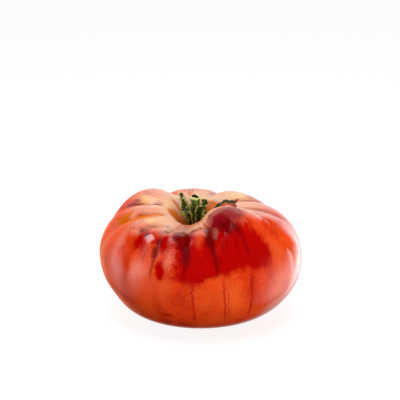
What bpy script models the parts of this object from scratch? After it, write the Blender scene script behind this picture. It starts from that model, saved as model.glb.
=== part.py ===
"""A ribbed beefsteak tomato as picked: the fruit, its stem stub and its dried sepals.

The tomato stands on the small flat spot of its blossom end. The origin is the middle of that spot,
+Z runs up to the stem, and -Y is the side with the tall shoulder. An azimuth is the angle about +Z
from +X towards +Y, and a latitude runs from 0 at the stem to 1 at the blossom end.
"""

import math

import bmesh
import bpy
from mathutils import Matrix, Vector

MM = 0.001

# The fruit's skin, in millimetres. Its latitude line is a squashed circle with a funnel at the stem.
HALF_WIDTH = 48.0
HALF_DEPTH = 45.0
BELLY_HEIGHT = 28.0
SHOULDER_RISE = 27.5
BASE_DROP = 28.7
SIDE_FULLNESS = 0.73
SHOULDER_FULLNESS = 0.88
BASE_FULLNESS = 0.80
BASIN_DEPTH = 8.0
BASIN_RADIUS = 17.0
THROAT_DEPTH = 6.5
THROAT_RADIUS = 9.5
STEM_SHIFT = -2.5
STEM_SHIFT_REACH = 0.18
DIMPLE_DEPTH = 0.9
DIMPLE_RADIUS = 3.4

# Furrows and swellings push the skin along lines that fan out from a ring inside the flesh.
CORE_RADIUS = 24.0
CORE_HEIGHT = 28.0
FURROW_LATITUDE = 0.15
FURROW_INNER_REACH = 0.075
FURROW_ROUNDING = 1.2
PLAIN_STEM_END = 0.06
# azimuth in degrees, depth in millimetres, half-width in degrees, reach down the side as a latitude
FURROWS = (
    (2, 2.2, 7, 0.20),
    (33, 2.6, 7, 0.20),
    (73, 3.0, 8, 0.22),
    (117, 3.2, 8, 0.20),
    (165, 3.0, 7, 0.20),
    (191, 3.4, 7, 0.20),
    (223, 2.8, 6, 0.22),
    (243, 2.6, 5, 0.24),
    (259, 2.6, 5, 0.20),
    (278, 3.6, 6, 0.32),
    (335, 2.4, 8, 0.22),
)
# azimuth in degrees, latitude, half-width in degrees, half-width as a latitude, height in millimetres
SWELLINGS = (
    (70, 0.20, 40, 0.14, 2.0),
    (142, 0.20, 31, 0.16, 4.4),
    (238, 0.25, 32, 0.08, 2.4),
    (248, 0.11, 30, 0.08, -4.5),
    (305, 0.19, 25, 0.15, 8.0),
    (180, 0.64, 55, 0.12, -2.8),
    (0, 0.66, 55, 0.12, -1.2),
)

# The stem stub: radius and height above its foot along its outer side, from the cut end to the foot.
STEM_FOOT_HEIGHT = 41.9
STEM_PROFILE = (
    (0.0, 15.3),
    (1.0, 15.4),
    (1.45, 16.2),
    (1.8, 16.4),
    (2.1, 16.1),
    (2.0, 15.2),
    (1.7, 13.4),
    (1.55, 10.0),
    (1.6, 6.5),
    (1.9, 3.6),
    (2.6, 2.0),
    (3.3, 1.2),
    (3.5, 0.8),
    (3.1, 0.4),
    (0.0, 0.0),
)
STEM_LEAN = (1.5, 1.0)

# The sepals stand round the stub. Each has the azimuth of its foot, the degrees it swings round on the
# way up, its width in millimetres, its turn about its own length in degrees, and its midrib as places
# out from the stub's middle and up from the stub's foot.
SEPALS = {
    "sepal_hooked": (
        (163, -6, 2.9, 20),
        (
            (2.9, 2.6),
            (3.5, 5.5),
            (3.8, 9.0),
            (4.4, 12.0),
            (5.4, 14.4),
            (6.5, 15.8),
            (7.4, 15.2),
            (7.2, 13.8),
        ),
    ),
    "sepal_left": (
        (196, 0, 2.6, -10),
        ((2.9, 2.6), (3.7, 5.0), (4.3, 7.4), (5.1, 9.6), (6.2, 10.6), (7.2, 10.2)),
    ),
    "sepal_front_left": (
        (230, 0, 3.0, 0),
        ((2.9, 2.6), (3.7, 5.6), (4.5, 8.4), (5.7, 10.8), (7.0, 11.4), (8.0, 10.2), (7.9, 8.8)),
    ),
    "sepal_front": (
        (260, 4, 2.8, 0),
        ((2.9, 2.6), (3.4, 6.0), (3.6, 9.8), (4.1, 12.8), (5.1, 14.6), (6.2, 14.6), (6.7, 13.3)),
    ),
    "sepal_front_right": (
        (287, 25, 2.4, -25),
        ((2.9, 2.6), (3.6, 5.8), (3.9, 8.6), (4.3, 10.6), (4.9, 12.0), (5.8, 12.8)),
    ),
    "sepal_low_right": (
        (316, -3, 2.6, 15),
        ((2.9, 2.6), (4.0, 5.2), (5.2, 8.0), (6.6, 9.8), (8.0, 9.8), (8.6, 8.6)),
    ),
    "sepal_draped": (
        (338, -27, 2.2, 0),
        (
            (3.9, 2.2),
            (5.8, 6.4),
            (9.0, 10.6),
            (13.0, 13.4),
            (17.0, 15.4),
            (21.0, 16.9),
            (25.0, 17.9),
            (28.5, 18.2),
        ),
    ),
    "sepal_long": (
        (6, -18, 3.2, 10),
        (
            (2.9, 2.6),
            (5.2, 5.8),
            (8.0, 9.2),
            (11.0, 12.4),
            (14.2, 15.4),
            (16.4, 15.0),
            (18.4, 15.0),
            (20.4, 16.0),
        ),
    ),
    "sepal_back_right": (
        (44, 0, 2.8, 0),
        ((2.9, 2.6), (3.8, 6.0), (4.7, 9.4), (5.9, 11.8), (7.2, 12.5), (8.1, 12.0)),
    ),
    "sepal_back": (
        (86, 0, 3.0, 0),
        ((2.9, 2.6), (4.0, 6.0), (5.4, 9.4), (7.2, 11.4), (9.0, 11.8), (10.2, 11.0)),
    ),
    "sepal_back_left": (
        (126, 0, 3.0, 0),
        ((2.9, 2.6), (4.0, 5.6), (5.6, 8.6), (7.6, 10.6), (9.6, 11.2), (11.0, 10.8)),
    ),
}
DRIED_SEPALS = ("sepal_draped", "sepal_long")
SEPAL_THICKNESS = 0.5
SEPAL_FOLD = 0.35
SEPAL_FOOT_WIDTH = 0.38
SEPAL_TIP_TAPER = 0.75

# How finely each shape is divided.
SKIN_COLUMNS = 96
SKIN_ROWS = 42
STEM_END_CROWDING = 1.12
STEM_STEPS = 20
SEPAL_LENGTHS = 12
SEPAL_HALVES = 2
AHEAD = 0.01


def bell(distance, width):
    return math.exp(-((distance / width) ** 2))


def turn_between(azimuth, other):
    """The angle in degrees from one azimuth to another, from -180 to 180."""
    return (azimuth - other + 180.0) % 360.0 - 180.0


def skin_push(azimuth, latitude):
    """How far the ribs and shoulders stand out from the plain squashed form here, in millimetres."""
    push = 0.0
    for middle, depth, half_width, reach in FURROWS:
        turn = turn_between(azimuth, middle)
        valley = math.exp((FURROW_ROUNDING - math.hypot(turn, FURROW_ROUNDING)) / half_width)
        spread = FURROW_INNER_REACH if latitude < FURROW_LATITUDE else reach
        push -= depth * valley * bell(latitude - FURROW_LATITUDE, spread)
    for middle, height_on_side, half_width, half_height, height in SWELLINGS:
        turn = turn_between(azimuth, middle)
        push += height * bell(turn, half_width) * bell(latitude - height_on_side, half_height)
    return push * min(1.0, latitude / PLAIN_STEM_END)


def skin_point(azimuth, latitude):
    """A point of the skin, in millimetres."""
    tilt = math.pi * latitude
    rise = math.cos(tilt)
    reach = max(0.0, math.sin(tilt)) ** SIDE_FULLNESS
    across = Vector((math.cos(math.radians(azimuth)), math.sin(math.radians(azimuth)), 0.0))
    point = Vector((HALF_WIDTH * reach * across.x, HALF_DEPTH * reach * across.y, BELLY_HEIGHT))
    radius = math.hypot(point.x, point.y)
    if rise > 0.0:
        point.z += SHOULDER_RISE * rise**SHOULDER_FULLNESS
        point.z -= BASIN_DEPTH * bell(radius, BASIN_RADIUS)
        point.z -= THROAT_DEPTH * math.exp(-((radius / THROAT_RADIUS) ** 4))
    else:
        point.z -= BASE_DROP * (-rise) ** BASE_FULLNESS
    point.x += STEM_SHIFT * bell(latitude, STEM_SHIFT_REACH)
    core = CORE_RADIUS * across + Vector((0.0, 0.0, CORE_HEIGHT))
    point += (point - core).normalized() * skin_push(azimuth, latitude)
    if rise < 0.0:
        point.z = max(0.0, point.z) + DIMPLE_DEPTH * bell(radius, DIMPLE_RADIUS)
    return point


def make_material(name, colour, roughness):
    material = bpy.data.materials.new(name)
    material.use_nodes = True
    shader = material.node_tree.nodes["Principled BSDF"]
    shader.inputs["Base Color"].default_value = (*colour, 1.0)
    shader.inputs["Roughness"].default_value = roughness
    return material


def add_object(name, mesh_source, material, collection):
    mesh = bpy.data.meshes.new(name)
    mesh_source.to_mesh(mesh)
    mesh_source.free()
    mesh.materials.append(material)
    mesh.shade_smooth()
    made = bpy.data.objects.new(name, mesh)
    collection.objects.link(made)
    return made


def make_fruit(collection, material):
    """One closed skin: a sphere whose rows and columns are laid on the ribbed form."""
    sphere = bmesh.new()
    bmesh.ops.create_uvsphere(sphere, u_segments=SKIN_COLUMNS, v_segments=SKIN_ROWS, radius=1.0)
    for corner in sphere.verts:
        azimuth = math.degrees(math.atan2(corner.co.y, corner.co.x))
        latitude = math.acos(max(-1.0, min(1.0, corner.co.z))) / math.pi
        corner.co = skin_point(azimuth, latitude**STEM_END_CROWDING) * MM
    return add_object("fruit", sphere, material, collection)


def along(points, share):
    """A smooth curve through the points, at this share of the way from the first to the last."""
    place = share * (len(points) - 1)
    start = min(int(place), len(points) - 2)
    near = range(start - 1, start + 3)
    before, first, last, after = (Vector(points[min(max(step, 0), len(points) - 1)]) for step in near)
    rest = place - start
    leaving = (last - before) * 0.5
    arriving = (after - first) * 0.5
    return (
        first
        + leaving * rest
        + (3.0 * (last - first) - 2.0 * leaving - arriving) * rest**2
        + (2.0 * (first - last) + leaving + arriving) * rest**3
    )


def make_stem(collection, material):
    """A turned stub that flares at its foot and at its cut end, which is hollowed."""
    turned = bpy.data.meshes.new("stem")
    corners = [(radius * MM, 0.0, height * MM) for radius, height in STEM_PROFILE]
    turned.from_pydata(corners, [(step, step + 1) for step in range(len(corners) - 1)], [])
    turned.materials.append(material)
    stem = bpy.data.objects.new("stem", turned)
    stem.location = (STEM_SHIFT * MM, 0.0, STEM_FOOT_HEIGHT * MM)
    stem.rotation_euler = (math.radians(STEM_LEAN[0]), math.radians(STEM_LEAN[1]), 0.0)
    collection.objects.link(stem)
    turning = stem.modifiers.new("turning", "SCREW")
    turning.steps = turning.render_steps = STEM_STEPS
    turning.use_merge_vertices = True
    turning.merge_threshold = 0.0001
    turning.use_smooth_shade = True
    return stem


def midrib_point(sepal, share):
    (foot_azimuth, swing, _, _), places = sepal
    out, up = along(places, share)
    azimuth = math.radians(foot_azimuth + swing * share)
    return Vector((STEM_SHIFT + out * math.cos(azimuth), out * math.sin(azimuth), STEM_FOOT_HEIGHT + up))


def make_sepal(name, sepal, collection, material):
    """A folded strap along its midrib, widest a third of the way up and drawn to a point."""
    (foot_azimuth, swing, width, turn), _ = sepal
    strap = bmesh.new()
    rows = []
    for step in range(SEPAL_LENGTHS + 1):
        share = step / SEPAL_LENGTHS
        middle = midrib_point(sepal, share)
        further, nearer = min(1.0, share + AHEAD), max(0.0, share - AHEAD)
        ahead = midrib_point(sepal, further) - midrib_point(sepal, nearer)
        azimuth = math.radians(foot_azimuth + swing * share)
        across = Vector((-math.sin(azimuth), math.cos(azimuth), 0.0))
        across = Matrix.Rotation(math.radians(turn * share), 3, ahead) @ across
        outward = across.cross(ahead).normalized()
        spread = SEPAL_FOOT_WIDTH + (1.0 - SEPAL_FOOT_WIDTH) * math.sin(math.pi * share) ** 2
        half = 0.5 * width * spread * (1.0 - SEPAL_TIP_TAPER * share**3)
        row = []
        for place in range(-SEPAL_HALVES, SEPAL_HALVES + 1):
            side = place / SEPAL_HALVES
            corner = middle + across * side * half + outward * abs(side) * half * SEPAL_FOLD
            row.append(strap.verts.new(corner * MM))
        rows.append(row)
    for lower, upper in zip(rows, rows[1:]):
        for place in range(2 * SEPAL_HALVES):
            strap.faces.new((lower[place], lower[place + 1], upper[place + 1], upper[place]))
    made = add_object(name, strap, material, collection)
    wall = made.modifiers.new("wall", "SOLIDIFY")
    wall.thickness = SEPAL_THICKNESS * MM
    wall.offset = 0.0
    return made


def clear_scene():
    for leftover in list(bpy.data.objects):
        bpy.data.objects.remove(leftover, do_unlink=True)


def build():
    clear_scene()
    collection = bpy.data.collections.new("tomato")
    bpy.context.scene.collection.children.link(collection)
    make_fruit(collection, make_material("tomato_skin", (0.62, 0.07, 0.02), 0.25))
    make_stem(collection, make_material("tomato_stem", (0.16, 0.22, 0.05), 0.6))
    green = make_material("sepal_green", (0.10, 0.14, 0.03), 0.7)
    dried = make_material("sepal_dried", (0.26, 0.10, 0.03), 0.75)
    for name, sepal in SEPALS.items():
        make_sepal(name, sepal, collection, dried if name in DRIED_SEPALS else green)


build()
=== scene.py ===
"""A ripe ribbed beefsteak tomato with its green stem stub and wilted sepals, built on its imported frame.

All places are in metres in the frame's own axes: +Z up to the stem, -Y the side with the tall shoulder.
"""

import math

import bmesh
import bpy
from mathutils import Matrix, Vector


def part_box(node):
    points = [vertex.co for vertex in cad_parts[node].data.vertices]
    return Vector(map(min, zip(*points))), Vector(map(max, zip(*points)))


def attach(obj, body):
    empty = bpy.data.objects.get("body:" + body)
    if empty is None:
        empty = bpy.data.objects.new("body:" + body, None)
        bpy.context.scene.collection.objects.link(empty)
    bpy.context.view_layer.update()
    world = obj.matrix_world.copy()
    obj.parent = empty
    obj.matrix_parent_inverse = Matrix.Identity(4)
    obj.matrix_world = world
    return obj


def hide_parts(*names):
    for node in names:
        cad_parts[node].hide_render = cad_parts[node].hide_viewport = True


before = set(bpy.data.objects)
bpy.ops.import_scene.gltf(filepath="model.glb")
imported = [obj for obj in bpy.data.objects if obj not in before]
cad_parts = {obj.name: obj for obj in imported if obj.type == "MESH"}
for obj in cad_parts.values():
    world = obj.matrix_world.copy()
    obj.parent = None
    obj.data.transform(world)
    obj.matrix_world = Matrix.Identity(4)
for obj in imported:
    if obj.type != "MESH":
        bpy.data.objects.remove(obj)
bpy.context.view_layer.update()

# ---- Fruit -----------------------------------------------------------------------------------------
# The berry itself: eleven uneven ribs round a funnel at the stem, squashed by its own weight into a small
# flat spot. It is flesh and juice inside a thin, taut, waxy skin, and it grew in one piece.

MM = 0.001
# The kinds of node that come up again and again.
MATH = "ShaderNodeMath"
VECTOR = "ShaderNodeVectorMath"
RAMP = "ShaderNodeMapRange"
MIX = "ShaderNodeMix"
NOISE = "ShaderNodeTexNoise"
JOIN = "ShaderNodeCombineXYZ"
SPLIT = "ShaderNodeSeparateXYZ"
KEPT = "ShaderNodeAttribute"
FRUIT_COLUMNS = 384
FRUIT_ROWS = 230
# Furrows: azimuth in degrees, depth in metres, half-width in degrees, reach down the side as a latitude.
FURROWS = (
    (2, 2.2 * MM, 7, 0.20),
    (33, 2.6 * MM, 7, 0.20),
    (73, 3.0 * MM, 8, 0.22),
    (117, 3.2 * MM, 8, 0.20),
    (165, 3.0 * MM, 7, 0.20),
    (191, 3.4 * MM, 7, 0.20),
    (223, 2.8 * MM, 6, 0.22),
    (243, 2.6 * MM, 5, 0.24),
    (259, 1.6 * MM, 5, 0.20),
    (278, 2.9 * MM, 6, 0.26),
    (335, 2.4 * MM, 8, 0.22),
)
# Swellings: azimuth, latitude, half-width in degrees, half-width as a latitude, height in metres.
SWELLINGS = (
    (70, 0.20, 40, 0.14, 2.0 * MM),
    (142, 0.20, 31, 0.16, 4.4 * MM),
    (238, 0.25, 32, 0.08, 2.4 * MM),
    (248, 0.11, 30, 0.08, -4.5 * MM),
    (305, 0.19, 25, 0.15, 8.0 * MM),
    (180, 0.64, 55, 0.12, -2.8 * MM),
    (0, 0.66, 55, 0.12, -1.2 * MM),
)


def feed(tree, source, socket):
    """Feeds a socket from another socket, from a node's first output, or with a plain value."""
    if isinstance(source, bpy.types.Node):
        source = next(output for output in source.outputs if output.enabled)
    if isinstance(source, bpy.types.NodeSocket):
        tree.links.new(source, socket)
    elif source is not None:
        socket.default_value = source


def add(tree, kind, *sources, **settings):
    """Adds a node, sets it up, and feeds its inputs in order."""
    made = tree.nodes.new(kind)
    for name, value in settings.items():
        setattr(made, name, value)
    for socket, source in zip([socket for socket in made.inputs if socket.enabled], sources):
        feed(tree, source, socket)
    return made


def new_group(kind, name, inputs, output, output_type="Float"):
    """An empty node group with one output, and these inputs, each with its value or the type it takes."""
    group = bpy.data.node_groups.new(name, kind)
    for label, value in inputs.items():
        plain = not isinstance(value, str)
        taken = {float: "Float", int: "Int"}[type(value)] if plain else value
        socket = group.interface.new_socket(label, in_out="INPUT", socket_type="NodeSocket" + taken)
        if plain:
            socket.default_value = value
    group.interface.new_socket(output, in_out="OUTPUT", socket_type="NodeSocket" + output_type)
    return group, add(group, "NodeGroupInput").outputs, add(group, "NodeGroupOutput").inputs[0]


def in_scene(name, data):
    """A new object in the scene that holds this data."""
    made = bpy.data.objects.new(name, data)
    bpy.context.scene.collection.objects.link(made)
    return made


def summed(tree, terms):
    """These terms added up, in their order."""
    total = None
    for term in terms:
        total = add(tree, MATH, total, term, operation="ADD") if total else term
    return total


def azimuth_of(tree, part):
    """The azimuth of a place, in degrees from +X towards +Y, from its separate X and Y."""
    azimuth = add(tree, MATH, part["Y"], part["X"], operation="ARCTAN2")
    return add(tree, MATH, azimuth, operation="DEGREES")


def turned_from(tree, azimuth, middle):
    """How far round from this middle an azimuth lies, in degrees from -180 to 180."""
    turn = add(tree, MATH, azimuth, middle, operation="SUBTRACT")
    return add(tree, MATH, turn, 180.0, -180.0, operation="WRAP")


def bell(tree, distance, width, sharpness):
    """One at no distance, and falling off past this width, more steeply the greater the sharpness."""
    away = add(tree, MATH, distance, width, operation="DIVIDE")
    away = add(tree, MATH, away, sharpness, operation="POWER")
    away = add(tree, MATH, away, -1.0, operation="MULTIPLY")
    return add(tree, MATH, away, operation="EXPONENT")


def patch_group(kind):
    """A soft oval spot on the skin, as strong as it is told to be at its middle and fading all round."""
    labels = ("Azimuth", "Latitude", "Middle", "Level", "Half Turn", "Half Reach", "Strength")
    group, given, result = new_group(kind, "skin patch", dict.fromkeys(labels, 1.0), "Strength")
    turn = turned_from(group, given["Azimuth"], given["Middle"])
    turn = add(group, MATH, turn, given["Half Turn"], operation="DIVIDE")
    rise = add(group, MATH, given["Latitude"], given["Level"], operation="SUBTRACT")
    rise = add(group, MATH, rise, given["Half Reach"], operation="DIVIDE")
    turn = add(group, MATH, turn, turn, operation="MULTIPLY")
    away = add(group, MATH, rise, rise, turn, operation="MULTIPLY_ADD")
    away = add(group, MATH, away, -1.0, operation="MULTIPLY")
    near = add(group, MATH, away, operation="EXPONENT")
    strength = add(group, MATH, near, given["Strength"], operation="MULTIPLY")
    feed(group, strength, result)
    return group


def patches(tree, group, azimuth, latitude, places):
    """The sum of the patches at these places: azimuth, latitude, half-widths of both, and strength."""
    kind = "ShaderNodeGroup" if tree.bl_idname == "ShaderNodeTree" else "GeometryNodeGroup"
    return summed(tree, [add(tree, kind, azimuth, latitude, *place, node_tree=group) for place in places])


def furrow_group():
    """A crease that runs down from the stem funnel between two ribs, deepest at the funnel's rim."""
    labels = ("Azimuth", "Latitude", "Middle", "Half Turn", "Reach")
    group, given, result = new_group("GeometryNodeTree", "furrow", dict.fromkeys(labels, 1.0), "Crease")
    # How far round its sharp bottom is rounded, in degrees, the latitude where it is deepest, and how far it
    # runs from there into the funnel.
    rounding, deepest, inner_reach = 1.2, 0.15, 0.075
    turn = turned_from(group, given["Azimuth"], given["Middle"])
    turn = add(group, MATH, turn, turn, rounding**2, operation="MULTIPLY_ADD")
    turn = add(group, MATH, turn, operation="SQRT")
    turn = add(group, MATH, rounding, turn, operation="SUBTRACT")
    turn = add(group, MATH, turn, given["Half Turn"], operation="DIVIDE")
    inside = add(group, MATH, given["Latitude"], deepest, operation="LESS_THAN")
    reach = add(group, MIX, inside, given["Reach"], inner_reach)
    rise = add(group, MATH, given["Latitude"], deepest, operation="SUBTRACT")
    rise = add(group, MATH, rise, reach, operation="DIVIDE")
    rise = add(group, MATH, rise, rise, operation="MULTIPLY")
    near = add(group, MATH, turn, rise, operation="SUBTRACT")
    near = add(group, MATH, near, operation="EXPONENT")
    feed(group, near, result)
    return group


def kept_on(tree, mesh, values):
    """The mesh with these values kept on it under their names, for its material to read."""
    for name, data_type, value in values:
        mesh = add(tree, "GeometryNodeStoreNamedAttribute", mesh, data_type=data_type)
        mesh.inputs["Name"].default_value = name
        feed(tree, value, mesh.inputs["Value"])
    return mesh


def hand_over(tree, mesh, material, result):
    """Ends the tree: real faces, all in this material."""
    mesh = add(tree, "GeometryNodeRealizeInstances", mesh)
    mesh = add(tree, "GeometryNodeSetMaterial", mesh, None, material)
    feed(tree, mesh, result)


def fruit_tree():
    """The skin: a sphere's rows and columns laid on a squashed form with a funnel, ribs and shoulders."""
    sizes = {
        "Columns": FRUIT_COLUMNS,
        "Rows": FRUIT_ROWS,
        "Row Crowding": 1.12,
        "Half Width": 48.0 * MM,
        "Half Depth": 45.0 * MM,
        "Plan Sharpness": 0.73,
        "Belly Height": 28.0 * MM,
        "Shoulder Rise": 27.5 * MM,
        "Shoulder Sharpness": 0.88,
        "Base Drop": 28.7 * MM,
        "Base Sharpness": 0.80,
        "Basin Depth": 8.0 * MM,
        "Basin Radius": 17.0 * MM,
        "Throat Depth": 6.5 * MM,
        "Throat Radius": 9.5 * MM,
        "Stem Shift": -2.5 * MM,
        "Stem Shift Reach": 0.18,
        "Stem End": 0.06,
        "Core Radius": 24.0 * MM,
        "Core Height": 28.0 * MM,
        "Dimple Depth": 0.9 * MM,
        "Dimple Radius": 3.4 * MM,
        "Lump Height": 0.5 * MM,
        "Lumps Per Metre": 1 / (17 * MM),
        "Seed": 7.0,
        "Skin": "Material",
    }
    tree, given, result = new_group("GeometryNodeTree", "ribbed fruit", sizes, "Fruit", "Geometry")
    sphere = add(tree, "GeometryNodeMeshUVSphere", given["Columns"], given["Rows"], 1.0)
    place = add(tree, "GeometryNodeInputPosition")
    part = add(tree, SPLIT, place).outputs
    azimuth = azimuth_of(tree, part)
    # Latitude runs from 0 at the stem end to 1 at the blossom end, and the rows crowd towards the stem.
    latitude = add(tree, MATH, part["Z"], operation="ARCCOSINE")
    latitude = add(tree, MATH, latitude, math.pi, operation="DIVIDE")
    latitude = add(tree, MATH, latitude, given["Row Crowding"], operation="POWER")
    across = add(tree, VECTOR, place, (1.0, 1.0, 0.0), operation="MULTIPLY")
    across = add(tree, VECTOR, across, operation="NORMALIZE")

    # The plain form: how far out and how high a latitude lies.
    tilt = add(tree, MATH, latitude, math.pi, operation="MULTIPLY")
    rise = add(tree, MATH, tilt, operation="COSINE")
    reach = add(tree, MATH, tilt, operation="SINE")
    reach = add(tree, MATH, reach, 0.0, operation="MAXIMUM")
    reach = add(tree, MATH, reach, given["Plan Sharpness"], operation="POWER")
    oval = add(tree, JOIN, given["Half Width"], given["Half Depth"], 0.0)
    plan = add(tree, VECTOR, across, oval, operation="MULTIPLY")
    plan = add(tree, VECTOR, plan, reach, operation="SCALE")
    radius = add(tree, VECTOR, plan, operation="LENGTH").outputs["Value"]
    upper = add(tree, MATH, rise, 0.0, operation="GREATER_THAN")
    lower = add(tree, MATH, 1.0, upper, operation="SUBTRACT")

    shoulder = add(tree, MATH, rise, 0.0, operation="MAXIMUM")
    shoulder = add(tree, MATH, shoulder, given["Shoulder Sharpness"], operation="POWER")
    rise_to, belly = given["Shoulder Rise"], given["Belly Height"]
    height = add(tree, MATH, shoulder, rise_to, belly, operation="MULTIPLY_ADD")
    base = add(tree, MATH, rise, -1.0, operation="MULTIPLY")
    base = add(tree, MATH, base, 0.0, operation="MAXIMUM")
    base = add(tree, MATH, base, given["Base Sharpness"], operation="POWER")
    base = add(tree, MATH, base, given["Base Drop"], operation="MULTIPLY")
    height = add(tree, MATH, height, base, operation="SUBTRACT")
    for depth, width, sharpness in (
        ("Basin Depth", "Basin Radius", 2.0),
        ("Throat Depth", "Throat Radius", 4.0),
    ):
        hollow = bell(tree, radius, given[width], sharpness)
        hollow = add(tree, MATH, hollow, upper, operation="MULTIPLY")
        hollow = add(tree, MATH, hollow, given[depth], operation="MULTIPLY")
        height = add(tree, MATH, height, hollow, operation="SUBTRACT")
    shift = bell(tree, latitude, given["Stem Shift Reach"], 2.0)
    shift = add(tree, MATH, shift, given["Stem Shift"], operation="MULTIPLY")
    lift = add(tree, JOIN, shift, 0.0, height)
    plain = add(tree, VECTOR, plan, lift, operation="ADD")

    # The ribs, shoulders and slight lumps push the skin along lines that fan out from a ring inside.
    furrow = furrow_group()
    lines, dents = [], []
    for middle, depth, half_turn, span in FURROWS:
        line = add(tree, "GeometryNodeGroup", azimuth, latitude, middle, half_turn, span, node_tree=furrow)
        lines.append(line)
        dents.append(add(tree, MATH, line, depth, operation="MULTIPLY"))
    crease, dent = summed(tree, lines), summed(tree, dents)
    swelling = patches(tree, patch_group("GeometryNodeTree"), azimuth, latitude, SWELLINGS)
    push = add(tree, MATH, swelling, dent, operation="SUBTRACT")
    stem_end = add(tree, RAMP, latitude, 0.0, given["Stem End"], 0.0, 1.0)
    push = add(tree, MATH, push, stem_end, operation="MULTIPLY")
    seed, crowd = given["Seed"], given["Lumps Per Metre"]
    lumps = add(tree, NOISE, plain, seed, crowd, 1.0, 0.4, noise_dimensions="4D")
    lumps = add(tree, RAMP, lumps, 0.0, 1.0, -1.0, 1.0)
    lumps = add(tree, MATH, lumps, given["Lump Height"], operation="MULTIPLY")
    # Low down the lumps fade out, so that the fruit stands flat.
    standing = add(tree, RAMP, latitude, 0.70, 0.62, 0.0, 1.0)
    lumps = add(tree, MATH, lumps, standing, operation="MULTIPLY")
    lumps = add(tree, MATH, lumps, stem_end, operation="MULTIPLY")
    push = add(tree, MATH, push, lumps, operation="ADD")
    core = add(tree, VECTOR, across, given["Core Radius"], operation="SCALE")
    core_height = add(tree, JOIN, 0.0, 0.0, given["Core Height"])
    core = add(tree, VECTOR, core, core_height, operation="ADD")
    outward = add(tree, VECTOR, plain, core, operation="SUBTRACT")
    outward = add(tree, VECTOR, outward, operation="NORMALIZE")
    outward = add(tree, VECTOR, outward, push, operation="SCALE")
    ribbed = add(tree, VECTOR, plain, outward, operation="ADD")

    # The weight of the fruit flattens the blossom end, and the dried flower leaves a dimple in it.
    part = add(tree, SPLIT, ribbed).outputs
    flat = add(tree, MATH, part["Z"], 0.0, operation="MAXIMUM")
    dimple = bell(tree, radius, given["Dimple Radius"], 2.0)
    dimple = add(tree, MATH, dimple, given["Dimple Depth"], operation="MULTIPLY")
    dimple = add(tree, MATH, dimple, lower, operation="MULTIPLY")
    flat = add(tree, MATH, flat, dimple, operation="ADD")
    final = add(tree, JOIN, part["X"], part["Y"], flat)

    # What the skin's colouring follows is kept on the mesh.
    followed = (
        ("latitude", "FLOAT", latitude),
        ("crease", "FLOAT", crease),
        ("across", "FLOAT_VECTOR", across),
    )
    mesh = kept_on(tree, sphere, followed)
    mesh = add(tree, "GeometryNodeSetPosition", mesh, None, final)
    mesh = add(tree, "GeometryNodeSetShadeSmooth", mesh)
    hand_over(tree, mesh, given["Skin"], result)
    return tree


def made_by(name, source_mesh, tree, inputs):
    """A plain mesh object holding what this tree makes, its inputs set by their identifiers."""
    maker = in_scene(name + " maker", source_mesh)
    modifier = maker.modifiers.new("shape", "NODES")
    modifier.node_group = tree
    for item in tree.interface.items_tree:
        if item.item_type == "SOCKET" and item.in_out == "INPUT" and item.name in inputs:
            modifier[item.identifier] = inputs[item.name]
    graph = bpy.context.evaluated_depsgraph_get()
    mesh = bpy.data.meshes.new_from_object(maker.evaluated_get(graph), depsgraph=graph)
    mesh.name = name
    bpy.data.objects.remove(maker)
    return in_scene(name, mesh)


def linear(colour):
    """An sRGB hex colour as the linear values that Blender's sockets take."""
    channels = [int(colour[place : place + 2], 16) / 255 for place in (1, 3, 5)]
    return (*(c / 12.92 if c <= 0.04045 else ((c + 0.055) / 1.055) ** 2.4 for c in channels), 1.0)


def new_material(name):
    """An empty material with its shader, and the shader's tree."""
    material = bpy.data.materials.new(name)
    material.use_nodes = True
    tree = material.node_tree
    return material, tree, tree.nodes["Principled BSDF"]


def coated(tree, colour, coats):
    """A colour under these coats in their order, each with its share and its own sRGB colour."""
    for share, tint in coats:
        colour = add(tree, MIX, share, colour, linear(tint), data_type="RGBA")
    return colour


def thread_group():
    """A thin ragged line down the side from one place to another, wandering a little as it goes."""
    labels = ("Azimuth", "Latitude", "Start", "End", "Top", "Bottom", "Half Turn", "Raggedness", "Strength")
    group, given, result = new_group("ShaderNodeTree", "thread", dict.fromkeys(labels, 1.0), "Strength")
    fall = add(group, MATH, given["Latitude"], given["Top"], operation="SUBTRACT")
    span = add(group, MATH, given["End"], given["Start"], operation="SUBTRACT")
    whole = add(group, MATH, given["Bottom"], given["Top"], operation="SUBTRACT")
    down = add(group, MATH, fall, whole, operation="DIVIDE")
    middle = add(group, MATH, down, span, given["Start"], operation="MULTIPLY_ADD")
    # Sixty bends from the stem to the blossom end.
    step = add(group, MATH, given["Latitude"], 60.0, given["Start"], operation="MULTIPLY_ADD")
    bend = add(group, NOISE, step, 1.0, 2.0, 0.7, noise_dimensions="1D")
    bend = add(group, RAMP, bend, 0.0, 1.0, -1.0, 1.0)
    bend = add(group, MATH, bend, given["Raggedness"], operation="MULTIPLY")
    middle = add(group, MATH, middle, bend, operation="ADD")
    turn = turned_from(group, given["Azimuth"], middle)
    turn = add(group, MATH, turn, operation="ABSOLUTE")
    taper = add(group, RAMP, down, 0.0, 1.0, 1.0, 0.45)
    width = add(group, MATH, given["Half Turn"], taper, operation="MULTIPLY")
    turn = add(group, MATH, turn, width, operation="DIVIDE")
    line = add(group, RAMP, turn, 1.0, 0.15, 0.0, 1.0, interpolation_type="SMOOTHSTEP")
    starts = add(group, RAMP, down, 0.0, 0.2, 0.0, 1.0)
    ends = add(group, RAMP, down, 1.0, 0.75, 0.0, 1.0)
    line = add(group, MATH, line, starts, operation="MULTIPLY")
    line = add(group, MATH, line, ends, operation="MULTIPLY")
    line = add(group, MATH, line, given["Strength"], operation="MULTIPLY")
    feed(group, line, result)
    return group


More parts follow.
